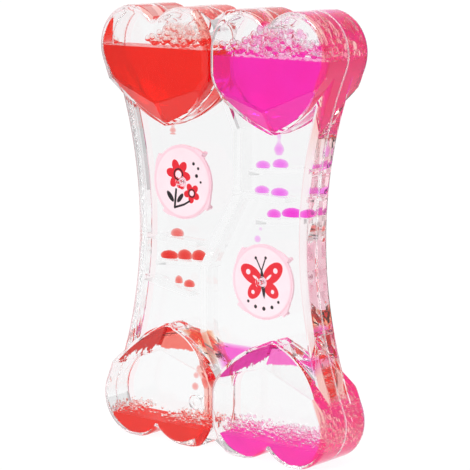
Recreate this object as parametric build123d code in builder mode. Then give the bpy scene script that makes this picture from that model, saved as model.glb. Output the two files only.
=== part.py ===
from build123d import *
import os
from math import sqrt, cos, sin, radians, atan2, degrees

# Desktop liquid motion timer: a clear moulded hourglass case of two bonded half
# shells, with a pair of heart-shaped reservoirs at each end, two liquid circuits
# side by side, drip ramps and two small paddle wheels on pins.
# Frame: +Z up, front face towards -Y, origin at the middle of the standing plane.
# Heights named z_* are measured from mid-height.

# ---------------------------------------------------------------- dimensions, mm
H = 140.0            # overall height
D_LOBE = 22.5        # depth over the heart pads
D_PANEL = 13.0       # depth of the flat middle panel
LOBE_X, LOBE_R = 32.5, 13.0        # outer lobes of the hearts
NEAR_X, NEAR_R = 11.0, 16.6        # lobes beside the centre line
FLAT = 0.15          # how much of each lobe is planed off to stand on
WAIST_X = 33.8       # half width at the waist
CLEFT_R = 1.6        # rounding of the clefts between lobes
EDGE_R = 2.2         # rounding of the outer edges
CUSHION_R = 2.6      # rounding of the heart pads' inner edges
T_WIN = 2.0          # front and rear window thickness
T_HEART = 1.5        # heart wall thickness, also half the wall between two hearts
T_SIDE = 3.0         # side wall thickness beside the columns
T_DIV = 2.6          # divider thickness
T_RAMP = 1.6         # ramp thickness
ROUND_R, ROUND_Z = 11.95, 56.7     # inside of the heart lobes beside the centre line
TIP_X, TIP_Z = 21.5, 33.55         # inside tip of a heart
PAD_TIP_Z, CREASE_Z = 32.0, 39.3   # facet on the pad: starts at the tip, ends on the pad face
FACET_OUT, FACET_IN = 0.40, 0.307  # rise of the two facet edges
DIV_X, DIV_BEND, DIV_KNEE = 6.85, 12.0, 33.0
ORIFICE_D, VENT_D, VENT_X = 1.2, 1.6, 10.6
WHEEL_X, WHEEL_Z, WHEEL_R, TOOTH_R = 16.2, 14.3, 11.9, 13.0
WHEEL_Y0, WHEEL_T, VANE_DEPTH = -2.8, 1.2, 3.4
LABEL_R, LABEL_T, LABEL_HOLE = 11.4, 0.15, 1.5
PIN_R, HUB_BORE_R, SOCKET_R, BOSS_R = 0.80, 0.86, 0.82, 2.0
BOSS_FRONT, BOSS_REAR = 1.1, 1.5
PLUG_R, PLUG_T, PLUG_X, PLUG_Z = 2.5, 1.7, 16.5, 58.8
SEAM_W, SEAM_DEPTH = 0.9, 0.5
GAP = 0.12           # clearance kept between liquids and the moulding
LEVEL_UP = {-1: 57.0, 1: 55.7}     # liquid levels in the upper hearts
LEVEL_LOW = {-1: -63.5, 1: -63.3}  # liquid levels in the lower hearts
FOAM_UP = {-1: 8.6, 1: 10.2}       # foam depths
FOAM_LOW = {-1: 3.4, 1: 5.2}

YL, YP = D_LOBE / 2, D_PANEL / 2
LOBE_Z = H / 2 + FLAT - LOBE_R
NEAR_Z = H / 2 + FLAT - NEAR_R
MID = Plane(origin=(0, 0, H / 2), x_dir=(1, 0, 0), z_dir=(0, -1, 0))

# the concave side is one arc, tangent to the two outer lobes
dx = WAIST_X - LOBE_X
WAIST_R = (LOBE_Z ** 2 + dx ** 2 - LOBE_R ** 2) / (2 * (LOBE_R - dx))
WAIST_CX = WAIST_X + WAIST_R
k = WAIST_R / (WAIST_R + LOBE_R)
TAN_X = WAIST_CX + (LOBE_X - WAIST_CX) * k
TAN_Z = LOBE_Z * k
print("waist radius", round(WAIST_R, 2), "tangent at", round(TAN_X, 2), round(TAN_Z, 2))


def write(solid, name):
    solid.label = name
    export_step(solid, f"parts/{name}.step")


def waist_arc(grow, z):
    return WAIST_CX - sqrt((WAIST_R + grow) ** 2 - z * z)


os.makedirs("parts", exist_ok=True)

# ---------------------------------------------------------------- shared profiles
with BuildSketch(MID) as outline:
    with BuildLine():
        ThreePointArc((TAN_X, TAN_Z), (WAIST_X, 0), (TAN_X, -TAN_Z))
        Line((TAN_X, -TAN_Z), (-TAN_X, -TAN_Z))
        ThreePointArc((-TAN_X, -TAN_Z), (-WAIST_X, 0), (-TAN_X, TAN_Z))
        Line((-TAN_X, TAN_Z), (TAN_X, TAN_Z))
    make_face()
    with Locations(*[(sx * LOBE_X, sz * LOBE_Z) for sx in (-1, 1) for sz in (-1, 1)]):
        Circle(LOBE_R)
    with Locations(*[(sx * NEAR_X, sz * NEAR_Z) for sx in (-1, 1) for sz in (-1, 1)]):
        Circle(NEAR_R)
    Rectangle(4 * LOBE_X, H, mode=Mode.INTERSECT)
    clefts = [v for v in outline.vertices() if 64.0 < abs(v.Y) < 67.5]
    print("clefts", len(clefts))
    fillet(clefts, CLEFT_R)


def heart_sketch(s, e, grow=0.0):
    """inside outline of one heart: s = -1 left, 1 right; e = 1 upper, -1 lower"""
    r_lobe = LOBE_R - T_HEART
    z_tan = LOBE_Z - 5.15
    x_tan = LOBE_X + sqrt(r_lobe ** 2 - 5.15 ** 2)
    q = lambda x, z: (s * x, e * z)
    with BuildSketch(MID) as face:
        with Locations(q(T_HEART + ROUND_R, ROUND_Z)):
            Circle(ROUND_R)
        with Locations(q(LOBE_X, LOBE_Z)):
            Circle(r_lobe)
        with BuildLine():
            Line(q(T_HEART, 51.0), q(T_HEART, ROUND_Z))
            Line(q(T_HEART, ROUND_Z), q(LOBE_X, ROUND_Z))
            Line(q(LOBE_X, ROUND_Z), q(x_tan, z_tan))
            TangentArc(q(x_tan, z_tan), q(23.4, TIP_Z + 0.75), tangent=q(-5.15, -(x_tan - LOBE_X)))
            ThreePointArc(q(23.4, TIP_Z + 0.75), q(TIP_X, TIP_Z), q(19.6, TIP_Z + 0.75))
            ThreePointArc(q(19.6, TIP_Z + 0.75), q(10.2, 39.0), q(3.4, 45.9))
            TangentArc(q(T_HEART, 51.0), q(3.4, 45.9), tangent=q(0, -1))
        make_face()
        cleft = [v for v in face.vertices() if 60 < abs(v.Y) < 66 and 19 < abs(v.X) < 25]
        fillet(cleft, 1.2)
        if grow:
            offset(amount=grow, mode=Mode.REPLACE)
    return face


def facets(s, e, inset):
    """the planes that bevel a heart pad towards its tip, front and rear"""
    out = []
    for f in (-1, 1):
        a = Vector(s * TIP_X, f * YP, H / 2 + e * PAD_TIP_Z)
        b = Vector(s * TIP_X, f * YL, H / 2 + e * CREASE_Z)
        for side, rise in ((s, FACET_OUT), (-s, FACET_IN)):
            along = Vector(side, 0, e * rise)
            n = along.cross(b - a).normalized()
            if n.Y * f < 0:
                n = n * -1
            out.append(Plane(origin=a - n * inset, x_dir=along, z_dir=n))
    return out


def chamber(s, e, gap=0.0):
    """space inside one heart, less a clearance all round"""
    if e < 0:
        return chamber(-s, 1, gap).rotate(Axis((0, 0, H / 2), (0, 1, 0)), 180)
    profile = heart_sketch(s, e, -gap)
    half = YL - T_WIN - gap
    with BuildPart() as space:
        extrude(profile.sketch, amount=half, both=True)
        for p in facets(s, e, T_WIN + gap):
            split(bisect_by=p, keep=Keep.BOTTOM)
    return space.part


RAMPS = {
    "r1": ((11.6, 20.45), (36.0, 23.05)),
    "r2": ((5.0, 13.55), (25.9, 12.95)),
    "r3": ((14.4, 5.40), (36.0, 7.55)),
    "l1": ((-36.0, -3.10), (-9.6, -4.30)),
    "l2": ((-26.9, -11.70), (-4.0, -10.25)),
    "l3": ((-36.0, -16.45), (-12.6, -20.55)),
}
hearts_out = {(s, e): heart_sketch(s, e, T_HEART) for s in (-1, 1) for e in (-1, 1)}

with BuildSketch(MID) as divider:
    with BuildLine() as spine:
        Polyline((0, 56), (0, 47.0), (DIV_X, DIV_KNEE), (DIV_X, DIV_BEND), (-DIV_X, -DIV_BEND),
                 (-DIV_X, -DIV_KNEE), (0, -47.0), (0, -56))
    trace(line_width=T_DIV)


def column_sketch(left=None):
    """both liquid columns between the hearts, the side walls and the divider"""
    zc = 48.0
    with BuildSketch(MID) as face:
        with BuildLine():
            ThreePointArc((waist_arc(T_SIDE, zc), zc), (WAIST_X - T_SIDE, 0), (waist_arc(T_SIDE, zc), -zc))
            Line((waist_arc(T_SIDE, zc), -zc), (-waist_arc(T_SIDE, zc), -zc))
            ThreePointArc((-waist_arc(T_SIDE, zc), -zc), (-WAIST_X + T_SIDE, 0), (-waist_arc(T_SIDE, zc), zc))
            Line((-waist_arc(T_SIDE, zc), zc), (waist_arc(T_SIDE, zc), zc))
        make_face()
        for h in hearts_out.values():
            add(h.sketch_local, mode=Mode.SUBTRACT)
        add(divider.sketch_local, mode=Mode.SUBTRACT)
        for (xa, za), (xb, zb) in RAMPS.values():
            with BuildLine():
                Polyline((xa, za), (xb, zb), (xb, zb - T_RAMP), (xa, za - T_RAMP), close=True)
            make_face(mode=Mode.SUBTRACT)
    return face


columns = column_sketch().sketch
print("column faces", [round(f.area, 1) for f in columns.faces()])

# ---------------------------------------------------------------- case
print("outline edges", sorted(round(ed.length, 3) for ed in outline.sketch.edges()))


def rounded_slab(half):
    """the outline at one depth, with its front and rear edges rounded"""
    with BuildPart() as slab:
        extrude(outline.sketch, amount=half, both=True)
        rims = [ed for ed in slab.edges() if abs(abs(ed.center().Y) - half) < 0.01]
        fillet(rims, EDGE_R)
    return slab.part


panel_slab = rounded_slab(YP)
lobe_slab = rounded_slab(YL)
print("slabs", panel_slab.is_valid, lobe_slab.is_valid)
pads = []
for s in (-1, 1):
    for e in (-1, 1):
        # the body of one pair of lobes, and the cushion of the heart that stands out from it
        with BuildSketch(MID) as pad_face:
            add(hearts_out[(s, e)].sketch_local)
            with Locations((s * 30, e * (50.5 + 20))):
                Rectangle(60, 40)
            with Locations((s * 30, e * 40)):
                Rectangle(60, 80, mode=Mode.INTERSECT)
        with BuildSketch(MID) as cushion_face:
            add(hearts_out[(s, e)].sketch_local)
            with BuildLine():
                Line((0, e * 51.0), (0, e * ROUND_Z))
                TangentArc((0, e * ROUND_Z), (s * 9.0, e * 71.5), tangent=(0, e))
                Polyline((s * 9.0, e * 71.5), (s * 36.0, e * 85.5), (s * 70.0, e * 85.5), (s * 70.0, e * 51.0), (0, e * 51.0))
            make_face()
        with BuildPart() as cushion:
            extrude(cushion_face.sketch, amount=YL, both=True)
            rims = [ed for ed in cushion.edges() if abs(abs(ed.center().Y) - YL) < 0.01 and abs(ed.center().X) < 16]
            fillet(rims, CUSHION_R)
        with BuildPart() as pad:
            extrude(pad_face.sketch, amount=YL - CUSHION_R, both=True)
            add(cushion.part)
            add(lobe_slab, mode=Mode.INTERSECT)
            for p in facets(s, e, 0.0):
                split(bisect_by=p, keep=Keep.BOTTOM)
        pads.append(pad.part)
        print("pad", s, e, round(pad.part.volume), pad.part.is_valid, len(pad.solids()))

with BuildPart() as case:
    add(panel_slab)
    for p in pads:
        add(p)
print("case", round(case.part.volume), case.part.is_valid, len(case.solids()))


def wheel_at(s):
    return s * WHEEL_X, H / 2 - s * WHEEL_Z


with BuildSketch(MID) as seam_ring:
    add(outline.sketch_local)
    offset(outline.sketch_local, amount=-SEAM_DEPTH, mode=Mode.SUBTRACT)
with BuildSketch(MID) as bead_ring:
    offset(outline.sketch_local, amount=-0.02)
    offset(outline.sketch_local, amount=-SEAM_DEPTH + 0.02, mode=Mode.SUBTRACT)

with BuildPart() as body:
    add(case.part)
    for s in (-1, 1):
        for e in (-1, 1):
            add(chamber(s, e), mode=Mode.SUBTRACT)
    extrude(columns, amount=YP - T_WIN, both=True, mode=Mode.SUBTRACT)
    # drip hole at each heart's tip, and a return hole through its inner slope
    with Locations(*[(s * TIP_X, 0, H / 2 + e * 32.8) for s in (-1, 1) for e in (-1, 1)]):
        Cylinder(ORIFICE_D / 2, 4.0, mode=Mode.SUBTRACT)
    with Locations(*[(s * VENT_X, 0, H / 2 + e * 37.4) for s in (-1, 1) for e in (-1, 1)]):
        Cylinder(VENT_D / 2, 6.0, mode=Mode.SUBTRACT)
    # bosses and blind sockets for the two wheel pins
    for s in (-1, 1):
        x, z = wheel_at(s)
        yw = YP - T_WIN
        with Locations(Location((x, -yw + BOSS_FRONT / 2 - 0.1, z), (90, 0, 0))):
            Cylinder(BOSS_R, BOSS_FRONT + 0.2)
        with Locations(Location((x, yw - BOSS_REAR / 2 + 0.1, z), (90, 0, 0))):
            Cylinder(BOSS_R, BOSS_REAR + 0.2)
        with Locations(Location((x, 0, z), (90, 0, 0))):
            Cylinder(SOCKET_R, 2 * (yw + 1.1), mode=Mode.SUBTRACT)
    # filling holes through the rear window, one for each circuit
    for s in (-1, 1):
        with Locations(Location((s * PLUG_X, YL - T_WIN / 2, H / 2 + s * PLUG_Z), (90, 0, 0))):
            Cylinder(PLUG_R + 0.02, T_WIN + 1.0, mode=Mode.SUBTRACT)
    # groove along the parting line
    extrude(seam_ring.sketch, amount=SEAM_W / 2, both=True, mode=Mode.SUBTRACT)
print("body", round(body.part.volume), body.part.is_valid, len(body.solids()))

with BuildPart() as front_shell:
    add(body.part)
    split(bisect_by=Plane.XZ, keep=Keep.TOP)
write(front_shell.part, "front_shell")

with BuildPart() as rear_shell:
    add(body.part)
    split(bisect_by=Plane.XZ, keep=Keep.BOTTOM)
write(rear_shell.part, "rear_shell")

with BuildPart() as seam_bead:
    extrude(bead_ring.sketch, amount=SEAM_W / 2 - 0.02, both=True)
write(seam_bead.part, "seam_bead")

for s, colour in ((-1, "red"), (1, "magenta")):
    with BuildPart() as plug:
        with Locations(Location((s * PLUG_X, YL - T_WIN + 0.1 + PLUG_T / 2, H / 2 + s * PLUG_Z), (90, 0, 0))):
            Cylinder(PLUG_R, PLUG_T)
        rim = plug.edges().filter_by(GeomType.CIRCLE).sort_by(Axis.Y)[-1]
        chamfer(rim, 0.3)
        with Locations((s * PLUG_X, YL - T_WIN + 0.1 + PLUG_T + 2.6, H / 2 + s * PLUG_Z)):
            Sphere(3.0, mode=Mode.SUBTRACT)
    write(plug.part, f"fill_plug_{colour}")

# ---------------------------------------------------------------- paddle wheels
TEETH = {-1: (50, 140, 230, 320), 1: (39, 129, 219, 309)}


def polar(r, a):
    return (r * cos(radians(a)), r * sin(radians(a)))


for s, side in ((-1, "left"), (1, "right")):
    x, z = wheel_at(s)
    face = Plane(origin=(x, WHEEL_Y0, z), x_dir=(1, 0, 0), z_dir=(0, -1, 0))
    back = Plane(origin=(x, WHEEL_Y0 + WHEEL_T, z), x_dir=(1, 0, 0), z_dir=(0, -1, 0))
    with BuildPart() as wheel:
        with BuildSketch(face):
            Circle(WHEEL_R)
            for a in TEETH[s]:
                with BuildLine():
                    Polyline(polar(WHEEL_R - 1, a - 3), polar(TOOTH_R, a), polar(WHEEL_R + 0.75, a + 10),
                             polar(WHEEL_R + 0.25, a + 20), polar(WHEEL_R - 0.4, a + 30), close=True)
                make_face()
            Circle(HUB_BORE_R, mode=Mode.SUBTRACT)
        extrude(amount=-WHEEL_T)
        with BuildSketch(back):
            Circle(2.0)
            Circle(HUB_BORE_R, mode=Mode.SUBTRACT)
        extrude(amount=-(2.6 - WHEEL_Y0 - WHEEL_T))
        with BuildSketch(back):
            for a in TEETH[s]:
                with Locations(Location(polar(9.6, a + 1.5), a + 1.5)):
                    Rectangle(6.0, 0.9)
        extrude(amount=-VANE_DEPTH)
    write(wheel.part, f"{side}_wheel")

    with BuildPart() as label:
        with BuildSketch(face):
            Circle(LABEL_R)
            Circle(LABEL_HOLE, mode=Mode.SUBTRACT)
        extrude(amount=LABEL_T)
    write(label.part, f"{side}_wheel_label")

    with BuildPart() as pin:
        with Locations(Location((x, 0, z), (90, 0, 0))):
            Cylinder(PIN_R, 2 * (YP - T_WIN + 1.0))
        chamfer(pin.edges().filter_by(GeomType.CIRCLE), 0.15)
    write(pin.part, f"{side}_wheel_pin")

# ---------------------------------------------------------------- liquids and foam
for s, colour in ((-1, "red"), (1, "magenta")):
    for e, end, level, foam in ((1, "upper", LEVEL_UP[s], FOAM_UP[s]), (-1, "lower", LEVEL_LOW[s], FOAM_LOW[s])):
        space = chamber(s, e, GAP)
        with BuildPart() as liquid:
            add(space)
            split(bisect_by=Plane.XY.offset(H / 2 + level), keep=Keep.BOTTOM)
        write(liquid.part, f"{end}_liquid_{colour}")
        with BuildPart() as froth:
            add(space)
            split(bisect_by=Plane.XY.offset(H / 2 + level + 0.1), keep=Keep.TOP)
            split(bisect_by=Plane.XY.offset(H / 2 + level + foam), keep=Keep.BOTTOM)
        write(froth.part, f"{end}_foam_{colour}")

# pools that collect in the valleys beside the lower hearts
column_faces = column_sketch().sketch_local.faces().sort_by(Axis.X)
POOLS = {
    "valley_pool_red": (0, (-24.0, -1.0), -33.3),
    "inner_pool_magenta": (1, (-8.0, 20.0), -36.4),
    "outer_pool_magenta": (1, (26.0, 46.0), -36.5),
}
for name, (index, (xa, xb), top) in POOLS.items():
    with BuildSketch(MID) as pool_face:
        add(column_faces[index])
        with Locations(((xa + xb) / 2, (top - 60) / 2)):
            Rectangle(xb - xa, top + 60, mode=Mode.INTERSECT)
        offset(amount=-GAP, mode=Mode.REPLACE)
    with BuildPart() as pool:
        extrude(pool_face.sketch, amount=YP - T_WIN - GAP, both=True)
    print(name, len(pool.solids()), [round(f.area, 1) for f in pool_face.faces()])
    write(pool.part, name)


# ---------------------------------------------------------------- drops
def bead(x, z, width, height):
    """a drop resting on a ramp: flat foot, domed top"""
    w = width / 2
    with BuildPart() as drop:
        with BuildSketch(Plane(origin=(x, 0, H / 2 + z), x_dir=(1, 0, 0), z_dir=(0, -1, 0))):
            with BuildLine():
                Line((0, 0), (0.90 * w, 0))
                Spline((0.90 * w, 0), *[(w * cos(radians(a)), height * (0.28 + 0.72 * sin(radians(a)))) for a in (0, 20, 40, 60, 76)],
                       (0, height), tangents=((0.5, 0.85), (-1, 0)))
                Line((0, height), (0, 0))
            make_face()
        revolve(axis=Axis((x, 0, 0), (0, 0, 1)))
    return drop.part


def hanging(x, z, r, top):
    """a drop drawn out below a drip hole: round bulb, thin neck"""
    neck = z + r + 0.35 * (top - z - r)
    with BuildPart() as drop:
        with BuildSketch(Plane(origin=(x, 0, H / 2), x_dir=(1, 0, 0), z_dir=(0, -1, 0))):
            with BuildLine():
                Line((0, z - r), (0, top))
                Line((0, top), (0.85, top))
                Spline((0.85, top), (0.56, neck), (0.84 * r, z + 0.55 * r), (r, z),
                       (0.72 * r, z - 0.70 * r), (0, z - r), tangents=((-0.1, -1), (-1, 0)))
            make_face()
        revolve(axis=Axis((x, 0, 0), (0, 0, 1)))
    return drop.part


def ball(x, y, z, r):
    with BuildPart() as drop:
        with Locations((x, y, H / 2 + z)):
            Sphere(r)
    return drop.part


GROUPS = {
    "tip_drop_red": [hanging(-21.6, 30.15, 1.15, 31.85)],
    "tip_drop_magenta": [hanging(21.2, 27.3, 1.75, 31.85)],
    "entry_drops_red": [ball(-10.9, 0, -47.8, 1.0), ball(-11.3, 0, -51.5, 1.25)],
    "ramp_drop_red_1": [bead(-20.0, -3.55, 4.9, 2.4)],
    "ramp_drops_red_2": [bead(-23.4, -11.1, 6.6, 2.4), bead(-16.9, -10.72, 5.4, 3.0), bead(-10.9, -10.35, 5.5, 3.1)],
    "ramp_drops_red_3": [bead(-19.45, -18.9, 2.9, 2.4), bead(-15.05, -19.55, 4.1, 2.2)],
    "ramp_drops_magenta_1": [bead(15.0, 21.25, 5.1, 2.2), bead(21.8, 22.0, 5.6, 2.5)],
    "ramp_drops_magenta_2": [bead(14.6, 13.5, 5.2, 2.1), bead(21.5, 13.32, 6.2, 2.2)],
    "ramp_drops_magenta_3": [bead(19.3, 6.32, 5.0, 2.4), bead(26.4, 7.15, 7.4, 2.6)],
    "wall_drop_red": [ball(-30.2, 3.2, 11.9, 0.9)],
    "wheel_drops_magenta": [ball(11.2, 3.15, -1.7, 1.15), ball(12.4, 3.2, 1.6, 0.6), ball(4.6, 3.2, -21.6, 1.0)],
}
for name, drops in GROUPS.items():
    write(drops[0] if len(drops) == 1 else Compound(children=drops), name)
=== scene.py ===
import bpy, bmesh, math, random
from mathutils import Vector, Matrix
from mathutils.bvhtree import BVHTree


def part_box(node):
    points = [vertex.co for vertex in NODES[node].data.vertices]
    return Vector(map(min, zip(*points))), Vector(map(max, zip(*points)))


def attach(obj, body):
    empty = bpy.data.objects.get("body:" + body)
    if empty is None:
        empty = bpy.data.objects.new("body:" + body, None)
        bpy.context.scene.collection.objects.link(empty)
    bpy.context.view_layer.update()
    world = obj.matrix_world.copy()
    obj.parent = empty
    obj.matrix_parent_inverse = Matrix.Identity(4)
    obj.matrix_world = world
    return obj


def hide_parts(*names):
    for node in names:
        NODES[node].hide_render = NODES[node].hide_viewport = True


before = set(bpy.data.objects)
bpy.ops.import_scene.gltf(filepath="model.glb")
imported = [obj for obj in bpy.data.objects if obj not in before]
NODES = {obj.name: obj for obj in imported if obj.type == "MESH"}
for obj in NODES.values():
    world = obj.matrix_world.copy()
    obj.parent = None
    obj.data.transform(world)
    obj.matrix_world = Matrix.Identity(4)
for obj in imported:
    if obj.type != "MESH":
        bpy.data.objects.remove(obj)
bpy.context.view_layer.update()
scene = bpy.context.scene
MM = 0.001
MID_Z = 0.070


# ------------------------------------------------------------------ camera
def make_camera():
    az, el, roll = math.radians(39.26), math.radians(9.2), math.radians(-0.12)
    back = Vector((math.sin(az) * math.cos(el), -math.cos(az) * math.cos(el), math.sin(el)))
    right = Vector((math.cos(az), math.sin(az), 0))
    up = back.cross(right)
    centre = Vector((0, 0, MID_Z))
    place = centre + back * 0.66659
    aim = centre + right * 0.001356 - up * 0.001653
    cam = bpy.data.cameras.new("camera")
    cam.sensor_width = 36.0
    cam.lens = 2113.25 / 470 * 36.0
    cam.clip_start, cam.clip_end = 0.01, 20
    ob = bpy.data.objects.new("camera", cam)
    scene.collection.objects.link(ob)
    q = (aim - place).to_track_quat("-Z", "Y")
    ob.matrix_world = Matrix.Translation(place) @ q.to_matrix().to_4x4() @ Matrix.Rotation(roll, 4, "Z")
    scene.camera = ob


make_camera()


# ------------------------------------------------------------------ node helpers
class Tree:
    def __init__(self, name):
        self.mat = bpy.data.materials.new(name)
        self.mat.use_nodes = True
        self.t = self.mat.node_tree
        self.t.nodes.clear()
        self.out = self.t.nodes.new("ShaderNodeOutputMaterial")

    def add(self, kind, **values):
        n = self.t.nodes.new(kind)
        for key, v in values.items():
            if hasattr(n, key) and key not in n.inputs:
                setattr(n, key, v)
            else:
                self.set(n, key, v)
        return n

    def set(self, n, key, v):
        socket = n.inputs[key]
        if isinstance(v, bpy.types.NodeSocket):
            self.t.links.new(v, socket)
        else:
            socket.default_value = v

    def math(self, op, a, b=0.0, c=0.0, clamp=False):
        n = self.t.nodes.new("ShaderNodeMath")
        n.operation = op
        n.use_clamp = clamp
        for i, v in enumerate((a, b, c)):
            self.set(n, i, v)
        return n.outputs[0]

    def ramp(self, fac, stops, mode="LINEAR"):
        n = self.t.nodes.new("ShaderNodeValToRGB")
        n.color_ramp.interpolation = mode
        e = n.color_ramp.elements
        while len(e) < len(stops):
            e.new(0.5)
        for el, (p, c) in zip(e, stops):
            el.position = p
            el.color = c if len(c) == 4 else (*c, 1)
        self.set(n, "Fac", fac)
        return n.outputs["Color"]

    def mix(self, fac, a, b):
        n = self.t.nodes.new("ShaderNodeMix")
        n.data_type = "RGBA"
        self.set(n, 0, fac)
        self.set(n, 6, a)
        self.set(n, 7, b)
        return n.outputs[2]

    def coords(self, out="Object"):
        return self.t.nodes.new("ShaderNodeTexCoord").outputs[out]

    def noise(self, scale, detail=3.0, rough=0.5, vector=None, out="Fac"):
        n = self.t.nodes.new("ShaderNodeTexNoise")
        n.inputs["Scale"].default_value = scale
        n.inputs["Detail"].default_value = detail
        n.inputs["Roughness"].default_value = rough
        self.set(n, "Vector", vector or self.coords())
        return n.outputs[out]

    def bump(self, height, strength, distance):
        n = self.t.nodes.new("ShaderNodeBump")
        n.inputs["Strength"].default_value = strength
        n.inputs["Distance"].default_value = distance
        self.set(n, "Height", height)
        return n.outputs["Normal"]

    def sum(self, *terms):
        total = terms[0]
        for v in terms[1:]:
            total = self.math("ADD", total, v)
        return total

    def most(self, *masks):
        top = masks[0]
        for v in masks[1:]:
            top = self.math("MAXIMUM", top, v)
        return top

    def length(self, a, b):
        return self.math("SQRT", self.math("ADD", self.math("MULTIPLY", a, a), self.math("MULTIPLY", b, b)))

    def edge(self, inside, sharp=7.0):
        """1 where the signed distance in mm is inside, with a soft printed edge"""
        return self.math("MULTIPLY_ADD", inside, sharp, 0.5, clamp=True)

    def lit_through(self, shader, tint=(1, 1, 1, 1)):
        """clear matter that doesn't keep light from what is inside it"""
        path = self.t.nodes.new("ShaderNodeLightPath")
        through = self.math("MAXIMUM", path.outputs["Is Shadow Ray"], path.outputs["Is Diffuse Ray"])
        mix = self.t.nodes.new("ShaderNodeMixShader")
        self.t.links.new(through, mix.inputs[0])
        self.t.links.new(shader.outputs[0], mix.inputs[1])
        self.t.links.new(self.add("ShaderNodeBsdfTransparent", **{"Color": tint}).outputs[0], mix.inputs[2])
        return mix

    def finish(self, shader, volume=None):
        self.t.links.new(shader.outputs[0], self.out.inputs["Surface"])
        if volume:
            self.t.links.new(volume.outputs[0], self.out.inputs["Volume"])
        return self.mat


def rgb(r, g, b):
    """a colour seen on a screen, as linear light"""
    f = lambda c: c / 12.92 if c <= 0.04045 else ((c + 0.055) / 1.055) ** 2.4
    return (f(r / 255), f(g / 255), f(b / 255), 1.0)


# ------------------------------------------------------------------ clear moulding
def clear_outer():
    t = Tree("clear_outer")
    wave = t.noise(70.0, 2.0, 0.45)
    fine = t.noise(900.0, 3.0, 0.6)
    p = t.add("ShaderNodeBsdfPrincipled", **{
        "Base Color": (0.935, 0.938, 0.942, 1), "Transmission Weight": 1.0, "IOR": 1.5, "Specular IOR Level": 0.12,
        "Roughness": t.math("MULTIPLY", fine, 0.01), "Normal": t.bump(wave, 0.025, 0.0004)})
    return t.finish(t.lit_through(p))


def clear_edge_painted_dye_glow(name, ior, deep=(0.95, 0.77, 0.80), pale=(0.955, 0.88, 0.89), painted_red_by_hearts=None):
    """sides and rounded edges, painted rosy: painted light standing in for the dye's light that runs along inside them,
    more so beside the hearts
    """
    t = Tree(name)
    wave = t.noise(70.0, 2.0, 0.45)
    tone = t.ramp(t.noise(45.0, 2.0), [(0.35, deep), (0.65, pale)])
    if painted_red_by_hearts:
        height = t.math("SUBTRACT", t.add("ShaderNodeSeparateXYZ", **{"Vector": t.coords()}).outputs[2], MID_Z)
        share = t.add("ShaderNodeMapRange", interpolation_type="SMOOTHSTEP", **{
            "Value": t.math("ABSOLUTE", height), "From Min": 0.020, "From Max": 0.042})
        tone = t.mix(share.outputs[0], tone, painted_red_by_hearts)
    p = t.add("ShaderNodeBsdfPrincipled", **{
        "Base Color": tone, "Transmission Weight": 1.0, "IOR": ior,
        "Roughness": t.math("MULTIPLY", t.noise(900.0), 0.01), "Normal": t.bump(wave, 0.01, 0.0004)})
    return t.finish(t.lit_through(p))


def clear_inner():
    t = Tree("clear_inner")
    wave = t.noise(140.0, 2.0, 0.5)
    p = t.add("ShaderNodeBsdfPrincipled", **{
        "Base Color": (0.985, 0.985, 0.985, 1), "Transmission Weight": 1.0, "IOR": 1.10,
        "Roughness": t.math("MULTIPLY", wave, 0.006)})
    return t.finish(t.lit_through(p))


def painted_dye_refraction(name, tone, deep, x0, z0, slope, ragged):
    """inside of a lower heart's bevel, painted with the dye's colour in place of the dyed liquid seen through it, a
    painted refraction; the painted patch ends along a line through (x0, z0) in mm. Colours are squared, as each face
    tints by the root."""
    t = Tree(name)
    at = t.coords()
    streaks = t.add("ShaderNodeMapping", **{"Vector": at, "Scale": (1.0, 1.0, 0.18)})
    n = t.noise(620.0, 2.0, 0.6, streaks.outputs[0])
    xyz = t.add("ShaderNodeSeparateXYZ", **{"Vector": at})
    above = t.math("MULTIPLY_ADD", xyz.outputs[2], 1000.0, t.math("MULTIPLY_ADD", xyz.outputs[0], -1000.0 * slope, slope * x0 - z0))
    painted_patch = t.edge(t.math("MULTIPLY_ADD", t.math("SUBTRACT", n, 0.5), ragged, above), 3.0)
    colour = t.mix(painted_patch, (0.985, 0.98, 0.98, 1), t.ramp(n, [(0.32, deep), (0.62, tone)]))
    p = t.add("ShaderNodeBsdfPrincipled", **{
        "Base Color": colour, "Transmission Weight": 1.0, "IOR": 1.06, "Roughness": t.math("MULTIPLY", n, 0.04)})
    return t.finish(t.lit_through(p))


def bonded():
    t = Tree("bonded_plane")
    tone = t.ramp(t.noise(400.0, 3.0), [(0.3, (0.985, 0.985, 0.985)), (0.7, (1, 1, 1))])
    return t.finish(t.add("ShaderNodeBsdfTransparent", **{"Color": tone}))


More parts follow.
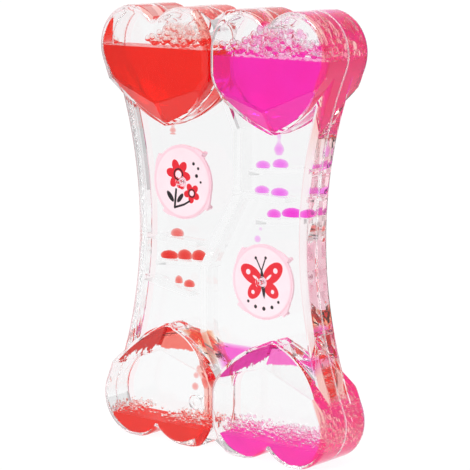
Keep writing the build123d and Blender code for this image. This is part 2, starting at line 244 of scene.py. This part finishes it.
def sort_shell_faces():
    """tells the outside of the case from the cavities and from the bonding plane"""
    shells = [NODES["front_shell"], NODES["rear_shell"]]
    verts, faces = [], []
    for o in shells + [NODES["fill_plug_red"], NODES["fill_plug_magenta"]]:
        base = len(verts)
        verts += [v.co.copy() for v in o.data.vertices]
        faces += [[base + i for i in p.vertices] for p in o.data.polygons]
    tree = BVHTree.FromPolygons(verts, faces)
    rays = [Vector(d).normalized() for d in (
        (0, -1, 0), (0, 1, 0), (0.21, -1, 0.13), (-0.17, -1, 0.29), (0.13, 1, -0.23), (-0.29, 1, 0.11),
        (1, 0.1, 0.07), (-1, -0.1, 0.05), (0.1, 0.2, 1), (-0.1, 0.1, -1))]
    mats = [clear_outer(), clear_inner(), bonded(),
            painted_dye_refraction("red_painted_refraction_deep", (0.46, 0.0003, 0.0001), (0.32, 0.0001, 0.00005), -23.4, 30.4, 0.395, 9.0),
            painted_dye_refraction("red_painted_refraction", (0.94, 0.05, 0.032), (0.88, 0.036, 0.024), -23.4, 30.4, 0.0, 1.5),
            painted_dye_refraction("magenta_painted_refraction_deep", (0.62, 0.0004, 0.14), (0.46, 0.0002, 0.09), 18.2, 30.9, 0.49, 5.0),
            painted_dye_refraction("magenta_painted_refraction", (1.0, 0.045, 0.42), (0.96, 0.03, 0.36), 18.2, 30.9, 0.03, 1.5),
            # edge materials: all painted rosy with painted dye light; the left one also darker, painted shade; the
            # right one painted red beside the hearts
            clear_edge_painted_dye_glow("clear_edge_painted_dye_glow", 1.5, (0.94, 0.58, 0.62), (0.95, 0.79, 0.81)), clear_edge_painted_dye_glow("clear_rear_edge_painted_dye_glow", 1.12),
            clear_edge_painted_dye_glow("clear_right_edge_painted_dye_glow", 1.5, painted_red_by_hearts=(0.95, 0.34, 0.28, 1)),
            clear_edge_painted_dye_glow("clear_left_edge_painted_glow_and_shade", 1.5, (0.62, 0.33, 0.35), (0.90, 0.62, 0.64))]
    for o in shells:
        o.data.materials.clear()
        for m in mats:
            o.data.materials.append(m)
        count = [0] * len(mats)
        for p in o.data.polygons:
            if abs(p.center.y) < 2e-6 and abs(p.normal.y) > 0.99:
                k = 2
            else:
                start = p.center + p.normal * 4e-5
                k = 1 if all(tree.ray_cast(start, d)[0] is not None for d in rays) else 0
            # bevel faces inside the lower hearts take the painted dye refraction, in the darker deep tone where they
            # face +x
            if k == 1 and p.center.z < 0.045 and 0.75 < p.normal.y < 0.9 and -0.6 < p.normal.z < -0.47:
                k = (3 if p.normal.x > 0 else 4) + (0 if p.center.x < 0 else 2)
            # outer sides and rounded edges take the painted-glow edge materials by the way they face
            if k == 0 and abs(p.normal.y) < 0.97 and not (0.75 < abs(p.normal.y) < 0.9 and 0.45 < abs(p.normal.z) < 0.6):
                k = 8 if p.normal.y > 0.05 else 9 if p.normal.x > 0.3 else 10 if p.normal.x < -0.3 else 7
            p.material_index = k
            count[k] += 1
        print(o.name, "faces of each material:", count)


sort_shell_faces()


# ------------------------------------------------------------------ liquids
def liquid(name, at20mm, ior=1.03):
    """dyed liquid: at20mm is the colour that white light has after 20 mm of it"""
    t = Tree(name)
    swirl = t.noise(60.0, 3.0, 0.5)
    p = t.add("ShaderNodeBsdfPrincipled", **{
        "Base Color": (1, 1, 1, 1), "Transmission Weight": 1.0, "IOR": ior,
        "Roughness": t.math("MULTIPLY_ADD", swirl, 0.01, 0.0)})
    return t.finish(p, absorb(t, at20mm))


def absorb(t, colour, depth=0.020):
    """Volume Absorption that leaves this colour after this depth"""
    rates = [-math.log(max(c, 1e-7)) / depth for c in colour[:3]]
    density = max(rates)
    return t.add("ShaderNodeVolumeAbsorption", **{
        "Color": (*[1 - r / density for r in rates], 1), "Density": density})


def deep_liquid(name, tone, other, at20mm, clear):
    """liquid in the hearts, a little turbid: part of the light comes back from its face"""
    t = Tree(name)
    swirl = t.noise(90.0, 3.0, 0.5)
    p = t.add("ShaderNodeBsdfPrincipled", **{
        "Base Color": t.ramp(swirl, [(0.35, tone), (0.65, other)]), "Transmission Weight": clear, "IOR": 1.03,
        "Roughness": t.math("MULTIPLY_ADD", swirl, 0.02, 0.0)})
    return t.finish(p, absorb(t, at20mm))


red_liquid = liquid("red_liquid", (0.95, 0.016, 0.0012))
magenta_liquid = liquid("magenta_liquid", (1.0, 0.014, 0.46))
red_upper = deep_liquid("red_upper", rgb(250, 38, 6), rgb(252, 46, 12), (0.98, 0.2, 0.1), 0.7)
magenta_upper = deep_liquid("magenta_upper", rgb(255, 40, 194), rgb(255, 46, 202), (1.0, 0.2, 0.85), 0.7)
red_settled = deep_liquid("red_settled", rgb(243, 36, 10), rgb(248, 44, 16), (0.96, 0.05, 0.01), 0.5)
magenta_settled = deep_liquid("magenta_settled", rgb(254, 42, 188), rgb(255, 50, 196), (1.0, 0.05, 0.7), 0.5)
red_drop = liquid("red_drop", (0.72, 0.0006, 0.0004))
red_drop_deep = liquid("red_drop_deep", (0.62, 6e-6, 2e-6))
magenta_drop = liquid("magenta_drop", (0.86, 0.0035, 0.72))
magenta_drop_deep = liquid("magenta_drop_deep", (0.96, 0.0002, 0.40))


def dress(mat, *names):
    for n in names:
        o = NODES[n]
        o.data.materials.clear()
        o.data.materials.append(mat)
        for p in o.data.polygons:
            p.material_index = 0


dress(red_upper, "upper_liquid_red")
dress(magenta_upper, "upper_liquid_magenta")
dress(red_liquid, "valley_pool_red")
dress(magenta_liquid, "inner_pool_magenta", "outer_pool_magenta")
dress(red_settled, "lower_liquid_red")
dress(magenta_settled, "lower_liquid_magenta")
dress(red_drop, "tip_drop_red", "entry_drops_red", "ramp_drop_red_1", "wall_drop_red")
dress(red_drop_deep, "ramp_drops_red_2", "ramp_drops_red_3")
dress(magenta_drop, "tip_drop_magenta", "ramp_drops_magenta_1", "ramp_drops_magenta_2", "wheel_drops_magenta")
dress(magenta_drop_deep, "ramp_drops_magenta_3")


# ------------------------------------------------------------------ froth
def froth_material(name, tint, ior):
    t = Tree(name)
    tone = t.ramp(t.noise(500.0, 2.0), [(0.35, tint), (0.65, (1, 1, 1, 1))])
    p = t.add("ShaderNodeBsdfPrincipled", **{
        "Base Color": tone, "Transmission Weight": 1.0, "IOR": ior, "Roughness": 0.0})
    return t.finish(t.lit_through(p))


def unit_ball(subdivisions):
    bm = bmesh.new()
    bmesh.ops.create_icosphere(bm, subdivisions=subdivisions, radius=1.0)
    bm.verts.index_update()
    made = [v.co.copy() for v in bm.verts], [[v.index for v in f.verts] for f in bm.faces]
    bm.free()
    return made


BALLS = {k: unit_ball(k) for k in (2, 3)}


def froth(name, node, mats, seed, count, sizes, where):
    """a heap of round bubbles inside the space the node holds"""
    rng = random.Random(seed)
    o = NODES[node]
    tree = BVHTree.FromPolygons([v.co for v in o.data.vertices], [list(p.vertices) for p in o.data.polygons])
    lo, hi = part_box(node)
    placed, cells, cell = [], {}, 2.4 * sizes[1]

    def inside(p, r):
        near, normal, _, dist = tree.find_nearest(p)
        return (p - near).dot(normal) < 0 and dist >= r

    def free(p, r):
        kx, ky, kz = (int(c // cell) for c in p)
        return not any((p - q).length < (r + s) * 0.93
                       for i in (-1, 0, 1) for j in (-1, 0, 1) for k in (-1, 0, 1)
                       for q, s in cells.get((kx + i, ky + j, kz + k), ()))

    tries = 0
    while len(placed) < count and tries < 30000:
        tries += 1
        share = len(placed) / count
        r = (sizes[1] - (sizes[1] - sizes[0]) * share ** 0.6) * rng.uniform(0.7, 1.15)
        p = Vector((rng.uniform(lo.x, hi.x), rng.uniform(lo.y, hi.y), rng.uniform(lo.z, hi.z)))
        if rng.random() > where(p.x / MM, p.y / MM, (p.z - lo.z) / (hi.z - lo.z)):
            continue
        if free(p, r) and inside(p, r * 1.02):
            placed.append((p, r))
            cells.setdefault(tuple(int(c // cell) for c in p), []).append((p, r))
    verts, faces, kinds = [], [], []
    for p, r in placed:
        squash = Matrix.Diagonal((rng.uniform(0.9, 1.0), rng.uniform(0.9, 1.0), rng.uniform(0.85, 1.0)))
        turn = Matrix.Rotation(rng.uniform(0, 6.28), 3, Vector((rng.uniform(-1, 1), rng.uniform(-1, 1), 1)).normalized())
        m = turn @ squash * r
        ball_verts, ball_faces = BALLS[3 if r > 0.0006 else 2]
        base = len(verts)
        verts += [p + m @ v for v in ball_verts]
        faces += [[base + i for i in f] for f in ball_faces]
        kinds += [0 if rng.random() < 0.7 else 1] * len(ball_faces)
    me = bpy.data.meshes.new(name)
    me.from_pydata(verts, [], faces)
    me.polygons.foreach_set("material_index", kinds)
    me.polygons.foreach_set("use_smooth", [True] * len(faces))
    for m in mats:
        me.materials.append(m)
    ob = bpy.data.objects.new(name, me)
    scene.collection.objects.link(ob)
    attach(ob, "case")
    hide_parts(node)
    print(name, len(placed), "bubbles", len(me.polygons), "faces")
    return ob


def heap(x0, spread, high, low, bare):
    """a heap of froth: tallest about x0, a thin layer beside it, next to nothing on the bare side"""
    def inside(x, y, h):
        top = low + (high - low) * math.exp(-((x - x0) / spread) ** 2)
        if bare(x):
            return 0.1 if h < 0.15 else 0
        return 1 if h < top else 0
    return inside


red_froth = [froth_material("red_froth", rgb(255, 240, 236), 0.92), froth_material("red_froth_deep", rgb(254, 230, 225), 0.95)]
magenta_froth = [froth_material("magenta_froth", rgb(255, 228, 243), 0.89),
                 froth_material("magenta_froth_deep", rgb(253, 184, 226), 1.09)]
red_fizz = [froth_material("red_fizz", rgb(254, 214, 206), 0.86), froth_material("red_fizz_deep", rgb(250, 165, 150), 1.12)]
magenta_fizz = [froth_material("magenta_fizz", rgb(255, 222, 240), 0.86),
                froth_material("magenta_fizz_deep", rgb(253, 176, 218), 1.12)]
froth("froth_upper_red", "upper_foam_red", red_froth, 3, 95, (0.0009, 0.0025), heap(-15, 8, 0.92, 0.30, lambda x: x < -27))
froth("froth_upper_magenta", "upper_foam_magenta", magenta_froth, 5, 240, (0.0006, 0.0020), heap(22, 9, 0.98, 0.36, lambda x: False))
froth("froth_lower_red", "lower_foam_red", red_fizz, 7, 420, (0.00035, 0.0008),
      lambda x, y, h: (1 if x > -21 else 0.8 if x < -34 else 0.06) * (1 - 0.8 * h))
froth("froth_lower_magenta", "lower_foam_magenta", magenta_fizz, 9, 640, (0.00035, 0.0008),
      lambda x, y, h: (0.15 if 18 < x < 22 else 0.3 * (1 - h) if x > 39 else 1 if x > 22 else 0.7 * (1 - 0.5 * h)) * (1 - 0.6 * h))


# ------------------------------------------------------------------ wheels
PALE, RIM, INK_RED, INK_BLACK = rgb(255, 224, 232), rgb(251, 210, 221), rgb(231, 30, 48), rgb(30, 24, 30)


def wheel_plastic():
    t = Tree("wheel_plastic")
    tone = t.ramp(t.noise(160.0, 3.0), [(0.3, RIM), (0.7, rgb(254, 219, 229))])
    p = t.add("ShaderNodeBsdfPrincipled", **{
        "Base Color": tone, "Roughness": t.math("MULTIPLY_ADD", t.noise(1200.0), 0.15, 0.3), "IOR": 1.1})
    return t.finish(p)


class Print:
    """shapes printed on a wheel, in mm from its centre"""
    def __init__(self, name, node):
        me = NODES[node].data
        xs, zs = [v.co.x for v in me.vertices], [v.co.z for v in me.vertices]
        self.t = Tree(name)
        at = self.t.add("ShaderNodeSeparateXYZ", **{"Vector": self.t.coords()})
        self.u = self.t.math("MULTIPLY", self.t.math("SUBTRACT", at.outputs[0], (min(xs) + max(xs)) / 2), 1000.0)
        self.v = self.t.math("MULTIPLY", self.t.math("SUBTRACT", at.outputs[2], (min(zs) + max(zs)) / 2), 1000.0)

    def off(self, x, y):
        return self.t.math("SUBTRACT", self.u, x), self.t.math("SUBTRACT", self.v, y)

    def dot(self, x, y, r):
        return self.t.edge(self.t.math("SUBTRACT", r, self.t.length(*self.off(x, y))))

    def ring(self, x, y, r, w):
        gap = self.t.math("ABSOLUTE", self.t.math("SUBTRACT", self.t.length(*self.off(x, y)), r))
        return self.t.edge(self.t.math("SUBTRACT", w, gap))

    def oval(self, x, y, a, b, angle):
        m, du, dv = self.t.math, *self.off(x, y)
        c, n = math.cos(math.radians(angle)), math.sin(math.radians(angle))
        p = m("MULTIPLY_ADD", du, c / a, m("MULTIPLY", dv, n / a))
        q = m("MULTIPLY_ADD", du, -n / b, m("MULTIPLY", dv, c / b))
        return self.t.edge(m("MULTIPLY", m("SUBTRACT", 1.0, self.t.length(p, q)), min(a, b)))

    def bloom(self, x, y, r, petals, turn, deep=0.42):
        m, du, dv = self.t.math, *self.off(x, y)
        angle = m("MULTIPLY_ADD", m("ARCTAN2", dv, du), petals / 2, turn)
        reach = m("MULTIPLY_ADD", m("ABSOLUTE", m("COSINE", angle)), r * deep, r * (1 - deep))
        return self.t.edge(m("SUBTRACT", reach, self.t.length(du, dv)))

    def stroke(self, x0, y0, x1, y1, w):
        m, du, dv = self.t.math, *self.off(x0, y0)
        bx, by = x1 - x0, y1 - y0
        k = bx * bx + by * by
        share = m("MULTIPLY_ADD", du, bx / k, m("MULTIPLY", dv, by / k), clamp=True)
        gap = self.t.length(m("MULTIPLY_ADD", share, -bx, du), m("MULTIPLY_ADD", share, -by, dv))
        return self.t.edge(m("SUBTRACT", w, gap))

    def finish(self, red, bare, black):
        t = self.t
        ground = t.ramp(t.noise(150.0, 3.0), [(0.3, PALE), (0.7, rgb(255, 232, 238))])
        ground = t.mix(t.edge(t.math("SUBTRACT", t.length(self.u, self.v), 10.9), 3.0), ground, RIM)
        red = t.math("MULTIPLY", red, t.math("SUBTRACT", 1.0, bare))
        colour = t.mix(black, t.mix(red, ground, INK_RED), INK_BLACK)
        p = t.add("ShaderNodeBsdfPrincipled", **{
            "Base Color": colour, "Roughness": t.math("MULTIPLY_ADD", t.noise(1500.0), 0.15, 0.25), "IOR": 1.1})
        return t.finish(p)


def flower_print():
    g = Print("left_print", "left_wheel_label")
    m = g.t.most
    red = m(g.bloom(-1.6, 2.3, 5.0, 6, 0.4), g.bloom(3.9, -3.3, 3.3, 5, 1.1))
    bare = m(g.dot(-1.6, 2.3, 1.25), g.dot(3.9, -3.3, 0.85))
    black = m(g.ring(-1.6, 2.3, 1.75, 0.26), g.ring(3.9, -3.3, 1.2, 0.22),
              g.stroke(-2.6, -2.6, -3.2, -8.4, 0.42), g.stroke(-3.2, -8.4, 0.6, -7.2, 0.36), g.stroke(0.6, -7.2, 3.0, -5.9, 0.32),
              g.oval(-5.0, -5.0, 2.1, 0.85, 130), g.oval(-0.9, -5.2, 1.9, 0.75, 50),
              g.dot(5.9, 2.4, 0.62), g.dot(6.6, 4.8, 0.5), g.dot(4.7, 6.2, 0.56), g.dot(7.6, 0.5, 0.42))
    return g.finish(red, bare, black)


def butterfly_print():
    g = Print("right_print", "right_wheel_label")
    m = g.t.most
    red = m(g.oval(-4.3, 2.0, 4.6, 2.7, -28), g.oval(4.1, 3.2, 4.6, 2.7, 42),
            g.oval(-3.1, -2.9, 3.3, 2.2, 48), g.oval(3.4, -2.1, 3.3, 2.2, -34))
    bare = m(g.dot(-5.6, 2.7, 0.85), g.dot(5.1, 4.1, 0.85), g.dot(-3.7, -3.5, 0.65), g.dot(4.0, -2.6, 0.65),
             g.oval(-2.6, 1.1, 1.3, 0.4, -28), g.oval(2.5, 1.8, 1.3, 0.4, 42))
    black = m(g.oval(0.2, -0.4, 4.6, 0.75, 97), g.stroke(-0.4, 3.6, -2.4, 7.2, 0.24), g.stroke(-0.3, 3.6, 1.2, 7.6, 0.24),
              g.dot(-2.6, 7.4, 0.5), g.dot(1.3, 7.8, 0.5),
              g.dot(-5.6, -6.6, 0.5), g.dot(-2.7, -8.0, 0.6), g.dot(0.6, -8.3, 0.66), g.dot(3.8, -7.5, 0.6), g.dot(6.3, -5.6, 0.5))
    return g.finish(red, bare, black)


dress(wheel_plastic(), "left_wheel", "right_wheel")
dress(flower_print(), "left_wheel_label")
dress(butterfly_print(), "right_wheel_label")


def pin_plastic():
    t = Tree("pin_plastic")
    p = t.add("ShaderNodeBsdfPrincipled", **{
        "Base Color": (0.98, 0.95, 0.96, 1), "Transmission Weight": 1.0, "IOR": 1.06,
        "Roughness": t.math("MULTIPLY_ADD", t.noise(900.0), 0.08, 0.02)})
    return t.finish(t.lit_through(p))


dress(pin_plastic(), "left_wheel_pin", "right_wheel_pin")


def cloudy(name, tint, clear, ior):
    t = Tree(name)
    p = t.add("ShaderNodeBsdfPrincipled", **{
        "Base Color": t.ramp(t.noise(700.0), [(0.3, tint), (0.7, (1, 1, 1, 1))]), "Transmission Weight": clear, "IOR": ior,
        "Roughness": t.math("MULTIPLY_ADD", t.noise(500.0), 0.1, 0.02)})
    return t.finish(t.lit_through(p))


dress(cloudy("weld_bead", (0.95, 0.95, 0.95, 1), 0.85, 1.3), "seam_bead")
dress(cloudy("plug_plastic", (0.93, 0.93, 0.93, 1), 1.0, 1.4), "fill_plug_red", "fill_plug_magenta")


# ------------------------------------------------------------------ stage and light
def floor():
    me = bpy.data.meshes.new("floor")
    s = 3.0
    me.from_pydata([(-s, -s, 0), (s, -s, 0), (s, s, 0), (-s, s, 0)], [], [(0, 1, 2, 3)])
    ob = bpy.data.objects.new("floor", me)
    scene.collection.objects.link(ob)
    t = Tree("floor")
    # painted light: the floor glows by emission, a painted lit sweep that falls off into painted shade towards the
    # front left and the right, outside the picture
    at = t.add("ShaderNodeSeparateXYZ", **{"Vector": t.coords()})
    ahead = t.math("MULTIPLY_ADD", at.outputs[0], -0.633, t.math("MULTIPLY", at.outputs[1], -0.774))
    painted_floor_falloff = t.add("ShaderNodeMapRange", interpolation_type="SMOOTHERSTEP", **{
        "Value": ahead, "From Min": 0.05, "From Max": 0.55}).outputs[0]
    aside = t.math("MULTIPLY_ADD", at.outputs[0], 0.853, t.math("MULTIPLY_ADD", at.outputs[1], 0.536, -0.083))
    painted_flag_shade = t.math("MULTIPLY", t.math("MULTIPLY_ADD", aside, 1.0, -0.15, clamp=True),
                  t.math("MULTIPLY", t.math("MULTIPLY_ADD", at.outputs[1], 0.6225, t.math("MULTIPLY", at.outputs[0], -0.7826)), 3.0, clamp=True))
    across = t.math("ABSOLUTE", t.math("MULTIPLY_ADD", at.outputs[0], 0.774, t.math("MULTIPLY", at.outputs[1], -0.633)))
    fade = t.add("ShaderNodeMapRange", interpolation_type="SMOOTHERSTEP", **{
        "Value": across, "From Min": 0.14, "From Max": 0.6, "To Min": 1.0, "To Max": 0.0}).outputs[0]
    painted_floor_falloff = t.math("MAXIMUM", t.math("MULTIPLY", painted_floor_falloff, fade), t.math("MULTIPLY", painted_flag_shade, 0.9))
    p = t.add("ShaderNodeBsdfPrincipled", **{
        "Base Color": (0.08, 0.08, 0.08, 1), "Roughness": 0.9, "Specular IOR Level": 0.0,
        "Emission Color": t.ramp(painted_floor_falloff, [(0.0, (1, 1, 1)), (1.0, (0.46, 0.46, 0.46))]), "Emission Strength": 0.94})
    me.materials.append(t.finish(p))
    ob.location.z = -0.0001


floor()

world = bpy.data.worlds.new("studio")
scene.world = world
world.use_nodes = True
wt = world.node_tree
wt.nodes.clear()
wo = wt.nodes.new("ShaderNodeOutputWorld")
wb = wt.nodes.new("ShaderNodeBackground")
wc = wt.nodes.new("ShaderNodeTexCoord")
wd = wt.nodes.new("ShaderNodeVectorMath")
wd.operation = "DOT_PRODUCT"
wd.inputs[1].default_value = (-0.633, 0.774, 0.0)
wt.links.new(wc.outputs["Generated"], wd.inputs[0])
wm = wt.nodes.new("ShaderNodeMapRange")
wm.inputs["From Min"].default_value, wm.inputs["From Max"].default_value = -1.0, 1.0
wt.links.new(wd.outputs["Value"], wm.inputs["Value"])
wr = wt.nodes.new("ShaderNodeValToRGB")
stops = [(0.0, 0.32), (0.28, 0.38), (0.43, 0.85), (1.0, 1.03)]
while len(wr.color_ramp.elements) < len(stops):
    wr.color_ramp.elements.new(0.5)
for el, (at, v) in zip(wr.color_ramp.elements, stops):
    el.position, el.color = at, (v, v, v, 1)
wt.links.new(wm.outputs[0], wr.inputs["Fac"])
wt.links.new(wr.outputs["Color"], wb.inputs["Color"])


def world_side(direction, scale, start):
    """how far a direction lies to one side, from 0 to 1"""
    side = wt.nodes.new("ShaderNodeVectorMath")
    side.operation = "DOT_PRODUCT"
    side.inputs[1].default_value = direction
    wt.links.new(wc.outputs["Generated"], side.inputs[0])
    grade = wt.nodes.new("ShaderNodeMapRange")
    grade.inputs["From Min"].default_value, grade.inputs["From Max"].default_value = start, start + 1 / scale
    wt.links.new(side.outputs["Value"], grade.inputs["Value"])
    return grade.outputs[0]


# a dark screen at the right, behind the object and outside the picture, draws the edges of the clear case
screen = wt.nodes.new("ShaderNodeMath")
screen.operation = "MULTIPLY"
wt.links.new(world_side((0.774, 0.633, 0.0), 1.8, 0.17), screen.inputs[0])
wt.links.new(world_side((-0.7826, 0.6225, 0.0), 4.0, 0.0), screen.inputs[1])
shade = wt.nodes.new("ShaderNodeMath")
shade.operation = "MULTIPLY_ADD"
shade.inputs[1].default_value, shade.inputs[2].default_value = -0.5, 1.0
wt.links.new(screen.outputs[0], shade.inputs[0])
wt.links.new(shade.outputs[0], wb.inputs["Strength"])
wt.links.new(wb.outputs[0], wo.inputs[0])


def lamp(name, az, el, strength, size):
    """a far soft lamp; az from the front (-Y) towards +X"""
    light = bpy.data.lights.new(name, "SUN")
    light.energy, light.angle = strength, math.radians(size)
    ob = bpy.data.objects.new(name, light)
    scene.collection.objects.link(ob)
    a, e = math.radians(az), math.radians(el)
    to = Vector((math.sin(a) * math.cos(e), -math.cos(a) * math.cos(e), math.sin(e)))
    ob.rotation_euler = to.to_track_quat("Z", "Y").to_euler()


lamp("front_lamp", 5, 48, 2.0, 25)

scene.view_settings.view_transform = "Standard"
scene.view_settings.look = "None"
scene.cycles.max_bounces = 40
scene.cycles.transmission_bounces = 40
scene.cycles.glossy_bounces = 8
scene.cycles.diffuse_bounces = 4
scene.cycles.transparent_max_bounces = 32
